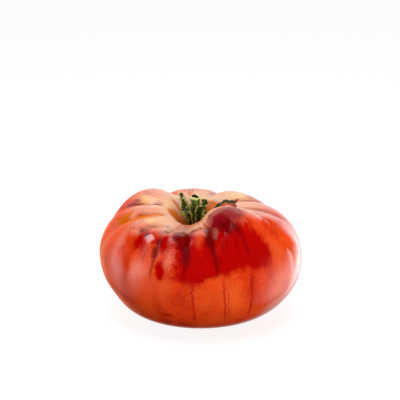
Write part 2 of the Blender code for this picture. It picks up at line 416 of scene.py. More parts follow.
# The spots that colour the skin, each with its azimuth, its latitude, its half-widths in degrees and as a
# latitude, and its strength. First a lighter orange, painted light where the ribs of the belly catch it.
LIT_BANDS = (
    (287, 0.53, 8, 0.08, 0.9), (250, 0.50, 5, 0.08, 0.6), (272, 0.55, 5, 0.07, 0.6),
    (315, 0.37, 8, 0.07, 0.8),
)
# The darker orange: painted shade between the ribs of the belly, mostly on the left of the front.
SHADED_BANDS = (
    (300, 0.54, 4, 0.10, 0.8), (262, 0.50, 5, 0.06, 0.5), (225, 0.58, 9, 0.08, 0.8),
    (330, 0.38, 7, 0.08, 0.5), (223, 0.44, 5, 0.11, 0.9), (207, 0.44, 10, 0.14, 0.5),
    (234, 0.325, 6, 0.045, 1.0),
)
# Pale unripe cream round the back and left of the hollow.
CREAM = (
    (45, 0.15, 13, 0.04, 1.0), (70, 0.08, 16, 0.02, 0.8), (158, 0.14, 6, 0.025, 1.0),
    (212, 0.145, 8, 0.03, 0.9),
)
# Deep orange in the stem hollow, partly the skin's colour there and partly painted shade and glow on its
# walls;
# its first spot goes all the way round, and a negative one leaves a pale gap that stands for the lit part of
# the wall.
PIT = (
    (150, 0.01, 400, 0.042, 1.1), (132, 0.045, 14, 0.02, -0.9), (176, 0.035, 10, 0.02, 0.6),
    (50, 0.045, 24, 0.018, 0.9),
)
# A warm tan on the rim of the hollow.
RIM = (
    (262, 0.065, 34, 0.03, 0.75), (200, 0.085, 8, 0.02, 0.6), (139, 0.05, 6, 0.02, 1.1),
    (58, 0.055, 16, 0.02, 0.7), (36, 0.06, 6, 0.03, 0.3),
)
# Amber between two ribs of the left shoulder, and a little at the back.
AMBER = (
    (189, 0.225, 6, 0.05, 1.4), (193, 0.17, 5, 0.04, 1.0), (200, 0.205, 6, 0.035, 1.4),
    (201, 0.165, 6.5, 0.035, 1.5), (202, 0.13, 7, 0.035, 1.4), (203, 0.095, 6, 0.025, 1.2),
    (98, 0.11, 5, 0.03, 0.6), (30, 0.11, 12, 0.05, 0.3),
)
# Dusty rose over the shoulders.
ROSE = (
    (152, 0.15, 12, 0.05, 1.0), (181, 0.15, 6, 0.03, 0.8), (185, 0.09, 8, 0.03, 0.6),
    (217, 0.225, 8, 0.05, 1.1), (143, 0.11, 10, 0.03, 0.7), (338, 0.17, 20, 0.04, 0.6),
    (15, 0.17, 12, 0.05, 0.5), (60, 0.19, 16, 0.04, 0.5), (97, 0.19, 12, 0.05, 0.5),
)
# The fully ripe red over the front, which ends in a ragged edge low down. That edge follows the line where
# the skin stops mirroring the dark front and mirrors the pale floor, so the step in colour is partly painted
# reflection.
DEEP_RED = (
    (229, 0.295, 5, 0.05, 1.4), (236, 0.27, 5, 0.03, 0.9), (247, 0.29, 8, 0.05, 1.1),
    (262, 0.37, 9, 0.17, 1.35), (281, 0.34, 13, 0.15, 1.4), (297, 0.34, 12, 0.13, 1.25),
    (306, 0.38, 8, 0.07, 0.9), (247.5, 0.43, 2.4, 0.045, 1.5),
)
# Darker streaks in that red.
SHADE = (
    (262, 0.33, 8, 0.09, 0.9), (280, 0.31, 10, 0.11, 0.7), (297, 0.31, 8, 0.07, 0.4),
    (241.5, 0.345, 2.5, 0.035, 1.3),
)
# The darkest crimson, under the purple shoulders, with a smudge low on the front.
CRIMSON = (
    (233, 0.265, 4, 0.02, 0.8), (242.5, 0.285, 2, 0.03, 0.9), (257, 0.23, 7, 0.075, 1.5),
    (261, 0.31, 2.2, 0.07, 0.9), (276.5, 0.235, 3.5, 0.055, 1.4), (287, 0.18, 6, 0.055, 1.4),
    (277, 0.18, 3, 0.04, 1.0), (292, 0.235, 6, 0.035, 0.8), (251, 0.635, 4, 0.02, 0.55),
)
# Purple sun blush on the two front shoulders.
PURPLE = (
    (252, 0.15, 12, 0.05, 1.1), (266, 0.16, 3, 0.05, 0.5), (294, 0.15, 9, 0.045, 1.3),
    (286, 0.125, 5, 0.03, 1.0), (284, 0.17, 3, 0.05, 0.6), (303, 0.185, 7, 0.03, 0.8),
    (290, 0.13, 6, 0.022, 0.9),
)
# Fine purple hatching on the shoulders all round.
STREAKS = (
    (225, 0.235, 8, 0.022, 1.2), (212, 0.235, 7, 0.03, 0.6), (164, 0.19, 5, 0.04, 1.7),
    (150, 0.15, 5, 0.03, 0.6), (164, 0.09, 5, 0.02, 1.2), (186, 0.245, 5, 0.03, 0.6),
    (232, 0.11, 10, 0.02, 0.7), (208, 0.08, 8, 0.02, 0.6), (335, 0.15, 18, 0.035, 0.9),
    (8, 0.19, 10, 0.05, 0.5), (50, 0.22, 14, 0.035, 0.5), (97, 0.17, 10, 0.06, 0.9),
    (125, 0.19, 8, 0.05, 0.7), (277, 0.15, 6, 0.06, 1.0),
)
# A dusty mauve painted sheen on the purple: the pale reflection that the crests catch, painted into the
# colour.
CREST_SHEEN = (
    (250, 0.085, 13, 0.028, 1.0), (240, 0.20, 3, 0.05, 0.9), (250, 0.25, 1.8, 0.05, 0.7),
    (258, 0.115, 7, 0.03, 0.4), (266, 0.15, 3, 0.05, 0.8), (296, 0.125, 10, 0.02, 0.6),
    (304, 0.175, 5, 0.035, 0.8), (280.5, 0.215, 2.4, 0.035, 0.9), (294, 0.105, 7, 0.018, 0.9),
    (282, 0.12, 4, 0.03, 0.5),
)
# Where the wax is dull and mirrors next to nothing; the last of them is the hollow.
DULL = (
    (246.5, 0.28, 4.5, 0.05, 1.3), (260, 0.265, 5, 0.05, 1.3), (217, 0.275, 7, 0.05, 1.2),
    (226, 0.31, 6, 0.05, 1.2), (247, 0.43, 5, 0.06, 1.2), (224.5, 0.41, 4.5, 0.12, 0.9),
    (161, 0.157, 9, 0.05, 1.2), (278, 0.24, 4, 0.05, 1.3), (283, 0.21, 6, 0.07, 1.0),
    (290, 0.20, 6, 0.06, 1.0), (187, 0.23, 8, 0.05, 1.0), (201, 0.16, 7, 0.08, 1.2),
    (322, 0.285, 10, 0.05, 1.5), (331, 0.33, 7, 0.05, 1.5), (336, 0.385, 9, 0.07, 0.9),
    (338, 0.225, 7, 0.05, 1.0), (320, 0.245, 8, 0.03, 0.9), (297, 0.155, 10, 0.04, 0.6),
    (259, 0.26, 4, 0.04, 1.2), (150, 0.01, 400, 0.060, 1.2),
)
# Pale pink painted reflections: narrow stripes on the left of the front, and wider patches of painted sheen
# on both sides.
PALE_REFLECTIONS = (
    (251.5, 0.355, 3.4, 0.06, 1.0), (234, 0.44, 7, 0.06, 0.8), (236, 0.31, 2, 0.04, 0.5),
    (320, 0.66, 10, 0.09, 1.3), (344, 0.45, 7, 0.08, 1.5), (199, 0.54, 6, 0.07, 0.9),
    (212, 0.31, 5, 0.07, 1.0),
)
# A lighter orange between the two purple shoulders: painted sheen on the rib there.
RIB_SHEEN = (
    (269.5, 0.25, 3.0, 0.045, 1.0), (270, 0.16, 2.5, 0.04, 0.6), (277, 0.125, 5, 0.03, 1.0),
)
# Lines down the side: azimuth at the top and the bottom, latitude at the top and the bottom, half-width in
# degrees, raggedness, strength and colour.
# The first four are thin red threads low on the front, and the others are dark tails of the purple blush.
THREADS = (
    (265.0, 267.5, 0.44, 0.73, 1.30, 1.4, 0.70, "#B40A14"),
    (282.0, 285.5, 0.44, 0.73, 1.30, 1.4, 0.70, "#B40A14"),
    (284.5, 288.0, 0.48, 0.73, 1.00, 1.4, 0.45, "#B40A14"),
    (298.0, 300.0, 0.40, 0.72, 1.60, 1.4, 0.70, "#B40A14"),
    (243.0, 241.0, 0.23, 0.50, 2.20, 0.6, 0.60, "#541216"),
    (237.5, 234.0, 0.30, 0.41, 1.60, 0.6, 0.30, "#541216"),
    (261.5, 261.0, 0.20, 0.48, 3.00, 0.8, 0.50, "#5E0206"),
    (276.5, 280.0, 0.18, 0.47, 3.20, 0.8, 0.60, "#5E0206"),
    (294.0, 298.0, 0.18, 0.38, 4.00, 1.0, 0.45, "#6A0206"),
)


def tomato_skin():
    """Ripe tomato skin: a clear waxy cuticle over orange-red flesh, with a purple sun blush in streaks, and
    with light, shade and sheen painted into its colour in places.
    """
    material, tree, shader = new_material("ripe_waxy_skin")
    latitude = add(tree, KEPT, attribute_name="latitude").outputs["Fac"]
    crease = add(tree, KEPT, attribute_name="crease").outputs["Fac"]
    across = add(tree, KEPT, attribute_name="across").outputs["Vector"]
    part = add(tree, SPLIT, across).outputs
    azimuth = azimuth_of(tree, part)
    place = add(tree, "ShaderNodeTexCoord").outputs["Object"]
    patch = patch_group("ShaderNodeTree")

    # Streaks run with the ribs: about 1 mm and 4 mm wide at the belly, and eight to ten times as long. The
    # belly is 46 mm from the middle, and the skin is 130 mm long from the stem to the blossom end.
    belly, girth = 46.0, 130.0
    streaks = []
    for width, length in ((0.9, 9.0), (3.6, 30.0)):
        down = add(tree, MATH, latitude, girth / length * width / belly, operation="MULTIPLY")
        down = add(tree, JOIN, part["X"], part["Y"], down)
        streaks.append(add(tree, NOISE, down, belly / width, 2.0, 0.5))
    fine, broad = streaks
    mottle = add(tree, NOISE, place, 1 / (7 * MM), 3.0, 0.55)
    cloud = add(tree, NOISE, place, 1 / (22 * MM), 2.0, 0.5)
    specks = add(tree, NOISE, place, 1 / (0.7 * MM), 2.0, 0.6)

    # A spot is looked up a little off its place, so that its ends are drawn out into streaks.
    drift = add(tree, MATH, broad, 2.0, fine, operation="MULTIPLY_ADD")
    drift = add(tree, RAMP, drift, 0.9, 2.1, -0.025, 0.025)
    outside = add(tree, RAMP, latitude, 0.04, 0.20, 0.0, 1.0)
    ragged = add(tree, MATH, drift, outside, latitude, operation="MULTIPLY_ADD")
    wander = add(tree, MATH, mottle, 6.0, azimuth, operation="MULTIPLY_ADD")
    wander = add(tree, MATH, wander, 3.0, operation="SUBTRACT")
    streak = add(tree, MATH, fine, broad, operation="ADD")
    streak = add(tree, RAMP, streak, 0.75, 1.25, -1.0, 1.0)
    hatch = add(tree, RAMP, fine, 0.40, 0.60, -1.0, 1.0)
    grain = add(tree, RAMP, specks, 0.35, 0.65, -1.0, 1.0)

    # Ripe flesh under the skin: orange-red, redder in the blotches, and yellower where it is thick.
    dapple = add(tree, NOISE, place, 1 / (2.5 * MM), 2.0, 0.6)
    ripe = add(tree, MATH, dapple, 0.6, mottle, operation="MULTIPLY_ADD")
    blotch = add(tree, RAMP, ripe, 0.60, 1.0, -1.0, 1.0)
    ripe = add(tree, RAMP, ripe, 0.65, 1.0, 0.0, 1.0)
    thick = add(tree, RAMP, cloud, 0.40, 0.65, 0.0, 0.8)
    # Paler, yellower flesh round the stem, and fine pale flecks all over.
    pale = add(tree, MATH, broad, 0.14, latitude, operation="MULTIPLY_ADD")
    pale = add(tree, RAMP, pale, 0.31, 0.16, 0.0, 0.92)
    fleck = add(tree, RAMP, specks, 0.56, 0.72, 0.0, 0.14)
    flesh = ((ripe, "#CA2B08"), (thick, "#EE5018"), (pale, "#F3BF9A"), (fleck, "#FFB088"))
    colour = coated(tree, linear("#E63C0E"), flesh)
    # The deep red ends low down in a soft ragged edge, higher on the right, along the line where the skin
    # stops
    # mirroring the dark front: a partly painted reflection step.
    edge = turned_from(tree, azimuth, -105.0)
    edge = add(tree, RAMP, edge, 12.0, 32.0, 0.466, 0.425)
    edge = add(tree, MATH, mottle, 0.06, edge, operation="MULTIPLY_ADD")
    above = add(tree, MATH, drift, 0.3, latitude, operation="MULTIPLY_ADD")
    above = add(tree, MATH, edge, above, operation="SUBTRACT")
    above = add(tree, RAMP, above, 0.005, 0.045, 0.0, 1.0, interpolation_type="SMOOTHSTEP")
    # The spots: colour, what breaks them up and how much, where they start and are full, and their most.
    # Among these, the lighter and darker belly bands, the pale stripes, the lighter rib and the mauve crests
    # are painted light, shade, sheen and reflection; the hollow's orange and the deep red's low edge are
    # partly painted.
    for spots, tint, texture, spread, clear, full, most in (
        (LIT_BANDS, "#FA6A2A", streak, 0.1, 0.10, 1.00, 0.60),
        (SHADED_BANDS, "#BE2806", streak, 0.1, 0.10, 1.00, 0.60),
        (ROSE, "#EE9478", streak, 0.8, 0.10, 0.80, 0.75),
        (CREAM, "#FAD890", streak, 0.6, 0.10, 0.90, 0.65),
        (RIM, "#E0703A", streak, 0.3, 0.15, 0.80, 0.85),
        (AMBER, "#E8700A", streak, 0.3, 0.10, 0.70, 0.95),
        (PIT, "#D46A0E", streak, 0.2, 0.25, 0.80, 0.95),
        (STREAKS, "#882A38", hatch, 0.7, 0.30, 1.20, 0.85),
        (DEEP_RED, "#B20200", blotch, 0.35, 0.12, 1.00, 1.00),
        (SHADE, "#6E0206", streak, 0.9, 0.30, 1.20, 0.70),
        (RIB_SHEEN, "#D84E22", streak, 0.3, 0.10, 1.20, 0.80),
        (PALE_REFLECTIONS, "#E8765A", grain, 0.25, 0.15, 1.10, 0.75),
        (CRIMSON, "#6A0206", blotch, 0.2, 0.15, 0.95, 0.95),
        (PURPLE, "#8A0A1C", streak, 0.2, 0.15, 0.90, 0.90),
        (CREST_SHEEN, "#A8625A", grain, 0.25, 0.20, 1.00, 0.65),
    ):
        blush = patches(tree, patch, wander, ragged, spots)
        broken = add(tree, MATH, texture, spread, 1.0, operation="MULTIPLY_ADD")
        blush = add(tree, MATH, blush, broken, operation="MULTIPLY")
        blush = add(tree, RAMP, blush, clear, full, 0.0, most, interpolation_type="SMOOTHSTEP")
        if spots is DEEP_RED:
            blush = add(tree, MATH, blush, above, operation="MULTIPLY")
        colour = coated(tree, colour, [(blush, tint)])
    # Over them a darker line painted in each crease as shade, the threads, and a small scar of brown cork at
    # the blossom end.
    line = add(tree, RAMP, crease, 0.45, 1.0, 0.0, 0.4)
    below = add(tree, RAMP, latitude, 0.08, 0.16, 0.0, 1.0)
    line = add(tree, MATH, line, below, operation="MULTIPLY")
    scar = add(tree, MATH, specks, 0.02, latitude, operation="MULTIPLY_ADD")
    scar = add(tree, RAMP, scar, 0.972, 0.980, 0.0, 1.0)
    thread = thread_group()
    lines = [(line, "#8A1408")]
    for *sizes, tint in THREADS:
        lines.append((add(tree, "ShaderNodeGroup", azimuth, latitude, *sizes, node_tree=thread), tint))
    colour = coated(tree, colour, [*lines, (scar, "#7E5C38")])

    # The wax is a little duller in specks and much duller in places, and ripples faintly with the streaks.
    dull = add(tree, RAMP, specks, 0.3, 0.7, 0.11, 0.21)
    hazy = patches(tree, patch, wander, ragged, DULL)
    dull = add(tree, MATH, hazy, 0.12, dull, operation="MULTIPLY_ADD")
    shine = add(tree, MATH, hazy, -0.60, 0.5, operation="MULTIPLY_ADD", use_clamp=True)
    feed(tree, shine, shader.inputs["Specular IOR Level"])
    dull = add(tree, MIX, scar, dull, 0.8)
    feed(tree, dull, shader.inputs["Roughness"])
    shader.inputs["IOR"].default_value = 1.45
    relief = add(tree, MATH, specks, 0.10, broad, operation="MULTIPLY_ADD")
    ripple = add(tree, "ShaderNodeBump", 0.5, 0.12 * MM)
    feed(tree, relief, ripple.inputs["Height"])
    feed(tree, ripple, shader.inputs["Normal"])
    feed(tree, colour, shader.inputs["Base Color"])
    return material


fruit = made_by("fruit_skin", bpy.data.meshes.new("seed"), fruit_tree(), {"Skin": tomato_skin()})
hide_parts("fruit")
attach(fruit, "root")

# ---- Stem stub -------------------------------------------------------------------------------------
# The stalk the fruit hung by, cut off short: a green ridged stub that flares into a disc at its foot,
# with a hollow, paler cut end. It is fibrous and grows out of the bottom of the funnel.

# radius and height above the foot in metres, from the bottom of the hollow, over the rim and down the
# outside to the disc that the sepals stand on
STALK = [
    (radius * MM, height * MM)
    for radius, height in (
        (0.0, 12.8), (0.8, 12.9), (1.25, 13.8), (1.5, 15.2), (1.7, 15.75), (1.95, 15.8),
        (2.1, 15.4), (2.05, 14.4), (1.9, 13.0), (1.8, 10.0), (1.85, 6.5), (2.1, 3.8), (2.7, 2.2),
        (3.4, 1.3), (3.6, 0.7), (2.6, 0.3), (0.0, 0.1),
    )
]
CUT_HEIGHT = 15.8 * MM
CUT_SLOPE = 0.2
STALK_RINGS = 120
STALK_COLUMNS = 72
stem_low, stem_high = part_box("stem")
stem_foot = Vector(((stem_low.x + stem_high.x) / 2, (stem_low.y + stem_high.y) / 2, stem_low.z))


def along(points, share):
    """A smooth curve through the points, at this share of the way from the first to the last."""
    place = share * (len(points) - 1)
    start = min(int(place), len(points) - 2)
    near = range(start - 1, start + 3)
    before, first, last, after = (Vector(points[min(max(step, 0), len(points) - 1)]) for step in near)
    rest = place - start
    leaving = (last - before) * 0.5
    arriving = (after - first) * 0.5
    return (
        first
        + leaving * rest
        + (3.0 * (last - first) - 2.0 * leaving - arriving) * rest**2
        + (2.0 * (first - last) + leaving + arriving) * rest**3
    )


def stalk_mesh():
    """Rings of the stalk's outline, pushed out along uneven ridges, with the cut sloped to the front."""
    shell = bmesh.new()
    rings = []
    for step in range(1, STALK_RINGS):
        radius, height = along(STALK, step / STALK_RINGS)
        up = min(max(height / CUT_HEIGHT, 0.0), 1.0)
        bow = Vector((0.35 * MM * math.sin(2.6 * up), -0.1 * MM, 0.0))
        ring = []
        for column in range(STALK_COLUMNS):
            turn = math.tau * column / STALK_COLUMNS
            out = Vector((math.cos(turn), math.sin(turn), 0.0))
            ridge = math.cos(5 * turn + 0.8 * math.sin(2 * turn + 0.7) + 1.5 * up)
            stands = 0.07 * ridge + 0.025 * math.sin(11 * turn + height / MM)
            knob = 0.5 * MM * math.exp(-(((turn - 3.5) / 0.5) ** 2) - ((up - 0.9) / 0.06) ** 2)
            place = out * (max(radius, 0.0) * (1.0 + stands) + knob)
            torn = 0.22 * MM * math.sin(3 * turn + 1.0) + 0.1 * MM * math.sin(8 * turn)
            lift = (CUT_SLOPE * place.y + torn) * max(0.0, up - 0.75) * 4
            ring.append(shell.verts.new(stem_foot + place + bow + Vector((0.0, 0.0, height + lift))))
        rings.append(ring)
    for upper, lower in zip(rings, rings[1:]):
        for column in range(STALK_COLUMNS):
            beside = (column + 1) % STALK_COLUMNS
            shell.faces.new((upper[column], lower[column], lower[beside], upper[beside]))
    for ring in (rings[0], rings[-1]):
        middle = shell.verts.new(sum((corner.co for corner in ring), Vector()) / len(ring))
        for column, corner in enumerate(ring):
            shell.faces.new((corner, ring[(column + 1) % len(ring)], middle))
    bmesh.ops.recalc_face_normals(shell, faces=shell.faces)
    mesh = bpy.data.meshes.new("stem_stub")
    shell.to_mesh(mesh)
    shell.free()
    mesh.shade_smooth()
    return mesh


def green_stalk():
    """Live stalk skin, matt and fibrous: dark green streaked with paler fibres, with a pale rim round a
    near-black hollow.
    """
    material, tree, shader = new_material("green_stalk")
    place = add(tree, "ShaderNodeTexCoord").outputs["Object"]
    part = add(tree, SPLIT, place).outputs
    fibre = add(tree, "ShaderNodeMapping", place, None, None, (1.0, 1.0, 0.12))
    fibre = add(tree, NOISE, fibre, 1 / (0.7 * MM), 3.0, 0.6)
    shade = add(tree, RAMP, fibre, 0.35, 0.65, 0.0, 1.0)
    # Height above the sloping cut, and distance out from the stalk's middle.
    tilted = add(tree, MATH, part["Y"], CUT_SLOPE, operation="MULTIPLY")
    above = add(tree, MATH, part["Z"], tilted, operation="SUBTRACT")
    above = add(tree, MATH, above, stem_foot.z + CUT_HEIGHT, operation="SUBTRACT")
    rim = add(tree, RAMP, above, -1.1 * MM, -0.25 * MM, 0.0, 1.0)
    out = add(tree, VECTOR, place, tuple(stem_foot), operation="SUBTRACT")
    out = add(tree, VECTOR, out, (1.0, 1.0, 0.0), operation="MULTIPLY")
    out = add(tree, VECTOR, out, operation="LENGTH").outputs["Value"]
    inside = add(tree, RAMP, out, 1.75 * MM, 1.55 * MM, 0.0, 1.0)
    high = add(tree, RAMP, above, -4.0 * MM, -3.4 * MM, 0.0, 1.0)
    hollow = add(tree, MATH, inside, high, operation="MULTIPLY")
    coats = ((shade, "#7E9226"), (rim, "#E4E48A"), (hollow, "#1E1A08"))
    colour = coated(tree, linear("#2A3808"), coats)
    feed(tree, colour, shader.inputs["Base Color"])
    shader.inputs["Roughness"].default_value = 0.5
    bump = add(tree, "ShaderNodeBump", 0.6, 0.15 * MM)
    feed(tree, fibre, bump.inputs["Height"])
    feed(tree, bump, shader.inputs["Normal"])
    return material


stub = in_scene("stem_stub", stalk_mesh())
stub.data.materials.append(green_stalk())
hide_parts("stem")
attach(stub, "root")

# ---- Sepals ----------------------------------------------------------------------------------------
# The star of leaflets that held the flower, wilted and crumpled after picking. Each is a thin folded blade
# joined to the disc at the stalk's foot; nine are still green, and two have dried and turned brown.

# azimuth of the foot, degrees it swings round on the way up, width in metres, degrees it turns about its
# length, how dry it is, and its midrib as places out from the stalk's middle and up from its foot in mm
SEPALS = {
    "sepal_hooked": (
        (163, -6, 5.4 * MM, 80, 0.1),
        ((2.9, 2.6), (3.4, 5.5), (3.6, 9.0), (4.0, 12.0), (4.8, 14.2), (5.7, 15.8), (6.7, 16.0), (7.0, 14.6)),
    ),
    "sepal_left": (
        (196, 6, 4.6 * MM, -75, 0.3),
        ((2.9, 2.6), (3.4, 5.0), (3.9, 7.4), (4.7, 9.6), (5.8, 10.4), (6.8, 9.6)),
    ),
    "sepal_front_left": (
        (230, 0, 4.8 * MM, 10, 0.1),
        ((2.9, 2.6), (3.3, 5.6), (3.9, 8.4), (4.9, 10.6), (6.2, 11.0), (7.2, 9.8), (7.2, 8.2)),
    ),
    "sepal_front": (
        (260, 4, 4.2 * MM, -15, 0.2),
        ((2.9, 2.6), (3.2, 6.0), (3.3, 9.8), (3.8, 12.6), (4.9, 14.0), (6.1, 13.6), (6.5, 12.2)),
    ),
    "sepal_front_right": (
        (287, 25, 4.4 * MM, -50, 0.0),
        ((2.9, 2.6), (3.4, 5.8), (3.6, 8.6), (4.1, 10.8), (5.0, 12.2), (6.2, 12.8)),
    ),
    "sepal_low_right": (
        (316, -3, 4.2 * MM, 35, 0.1),
        ((2.9, 2.6), (3.8, 5.2), (4.8, 8.0), (6.2, 9.8), (7.8, 10.0), (8.4, 8.6)),
    ),
    "sepal_draped": (
        (338, -27, 3.0 * MM, 0, 1.0),
        (
            (3.9, 2.2), (5.8, 6.4), (9.0, 10.6), (13.0, 13.4),
            (17.0, 15.4), (21.0, 16.9), (25.0, 17.9), (28.5, 18.2),
        ),
    ),
    "sepal_long": (
        (6, -18, 4.2 * MM, 10, 0.6),
        (
            (2.9, 2.6), (5.2, 5.8), (8.0, 9.2), (11.0, 12.0),
            (14.0, 14.4), (16.2, 14.6), (18.3, 14.8), (20.6, 16.0),
        ),
    ),
    "sepal_back_right": (
        (44, 0, 4.2 * MM, 20, 0.2),
        ((2.9, 2.6), (3.6, 6.0), (4.3, 9.4), (5.5, 12.0), (6.9, 13.0), (8.0, 12.4)),
    ),
    "sepal_back": (
        (86, 0, 4.4 * MM, 0, 0.1),
        ((2.9, 2.6), (3.8, 6.0), (5.0, 9.4), (6.8, 11.4), (8.7, 11.8), (10.0, 10.8)),
    ),
    "sepal_back_left": (
        (126, 0, 4.4 * MM, 0, 0.1),
        ((2.9, 2.6), (3.8, 5.6), (5.2, 8.6), (7.2, 10.6), (9.2, 11.2), (10.8, 10.6)),
    ),
}


def sepal_tree():
    """A leaf blade laid on its midrib: folded, drawn to a point, waved at its edges and crumpled."""
    sizes = {
        "Midrib": "Geometry",
        "Width": 3.6 * MM,
        "Turn": 0.0,
        "Thickness": 0.3 * MM,
        "Fold": 0.6,
        "Wave": 0.35,
        "Crumple": 1.1 * MM,
        "Crumples Per Metre": 1 / (2.2 * MM),
        "Dryness": 0.0,
        "Seed": 0.0,
        "Lengths": 90,
        "Widths": 21,
        "Blade": "Material",
    }
    tree, given, result = new_group("GeometryNodeTree", "wilted sepal", sizes, "Sepal", "Geometry")
    midrib = add(tree, "GeometryNodeMeshToCurve", given["Midrib"])
    midrib = add(tree, "GeometryNodeCurveSplineType", midrib, spline_type="CATMULL_ROM")
    grid = add(tree, "GeometryNodeMeshGrid", 1.0, 1.0, given["Widths"], given["Lengths"])
    part = add(tree, SPLIT, add(tree, "GeometryNodeInputPosition")).outputs
    side = add(tree, MATH, part["X"], 2.0, operation="MULTIPLY")
    share = add(tree, MATH, part["Y"], 0.5, operation="ADD")
    rib = add(tree, "GeometryNodeSampleCurve", mode="FACTOR", use_all_curves=True)
    feed(tree, midrib, rib.inputs["Curves"])
    feed(tree, share, rib.inputs["Factor"])
    middle, ahead = rib.outputs["Position"], rib.outputs["Tangent"]

    # Which way the blade is wide: level and square to the stalk at the foot, then turning as it rises.
    radial = add(tree, VECTOR, middle, tuple(stem_foot), operation="SUBTRACT")
    across = add(tree, VECTOR, (0.0, 0.0, 1.0), radial, operation="CROSS_PRODUCT")
    across = add(tree, VECTOR, across, operation="NORMALIZE")
    twist = add(tree, MATH, given["Turn"], share, operation="MULTIPLY")
    twist = add(tree, MATH, twist, operation="RADIANS")
    across = add(tree, "ShaderNodeVectorRotate", across, None, ahead, twist)
    outward = add(tree, VECTOR, across, ahead, operation="CROSS_PRODUCT")
    outward = add(tree, VECTOR, outward, operation="NORMALIZE")

    # How wide it is here: a narrow strand at the foot, a broad blade above, and a blunt point.
    spread = add(tree, RAMP, share, 0.15, 0.70, 0.42, 1.0, interpolation_type="SMOOTHSTEP")
    tip = add(tree, MATH, share, 8.0, operation="POWER")
    tip = add(tree, MATH, tip, -0.9, 1.0, operation="MULTIPLY_ADD")
    half = add(tree, MATH, spread, tip, operation="MULTIPLY")
    half = add(tree, MATH, half, given["Width"], operation="MULTIPLY")
    half = add(tree, MATH, half, 0.5, operation="MULTIPLY")
    down = add(tree, MATH, share, 7.0, operation="MULTIPLY")
    edge = add(tree, JOIN, side, down)
    ragged = add(tree, NOISE, edge, given["Seed"], 1.3, 2.0, 0.6, noise_dimensions="4D")
    ragged = add(tree, RAMP, ragged, 0.25, 0.75, 0.7, 1.25)
    half = add(tree, MATH, half, ragged, operation="MULTIPLY")

    # The fold along the midrib, the wave at the edges and the crumple of a blade that has lost its water.
    out_to_side = add(tree, MATH, side, half, operation="MULTIPLY")
    beside = add(tree, MATH, side, operation="ABSOLUTE")
    fold = add(tree, MATH, beside, given["Fold"], operation="MULTIPLY")
    wave = add(tree, MATH, share, 17.0, given["Seed"], operation="MULTIPLY_ADD")
    wave = add(tree, MATH, wave, side, operation="ADD")
    wave = add(tree, MATH, wave, operation="SINE")
    wave = add(tree, MATH, wave, given["Wave"], operation="MULTIPLY")
    wave = add(tree, MATH, wave, beside, operation="MULTIPLY")
    later = add(tree, RAMP, share, 0.0, 0.6, 0.4, 1.2)
    fold = add(tree, MATH, fold, later, operation="MULTIPLY")
    raised = add(tree, MATH, fold, wave, operation="ADD")
    raised = add(tree, MATH, raised, half, operation="MULTIPLY")
    moved = add(tree, VECTOR, across, out_to_side, operation="SCALE")
    place = add(tree, VECTOR, middle, moved, operation="ADD")
    seed, crowd = given["Seed"], given["Crumples Per Metre"]
    crumple = add(tree, NOISE, place, seed, crowd, 2.0, 0.5, noise_dimensions="4D")
    crumple = add(tree, RAMP, crumple, 0.0, 1.0, -1.0, 1.0)
    crumple = add(tree, MATH, crumple, given["Crumple"], operation="MULTIPLY")
    free = add(tree, RAMP, share, 0.0, 0.3, 0.2, 1.0)
    raised = add(tree, MATH, crumple, free, raised, operation="MULTIPLY_ADD")
    moved = add(tree, VECTOR, outward, raised, operation="SCALE")
    place = add(tree, VECTOR, place, moved, operation="ADD")

    followed = {"share": share, "side": side, "dryness": given["Dryness"], "seed": given["Seed"]}
    mesh = kept_on(tree, grid, [(name, "FLOAT", value) for name, value in followed.items()])
    mesh = add(tree, "GeometryNodeSetPosition", mesh, None, place)
    thick = add(tree, "GeometryNodeExtrudeMesh", mesh, mode="FACES")
    thick.inputs["Individual"].default_value = False
    feed(tree, given["Thickness"], thick.inputs["Offset Scale"])
    under = add(tree, "GeometryNodeFlipFaces", mesh)
    whole = add(tree, "GeometryNodeJoinGeometry", thick)
    feed(tree, under, whole.inputs[0])
    whole = add(tree, "GeometryNodeMergeByDistance", whole)
    whole.inputs["Distance"].default_value = 0.001 * MM
    whole = add(tree, "GeometryNodeSetShadeSmooth", whole)
    hand_over(tree, whole, given["Blade"], result)
    return tree


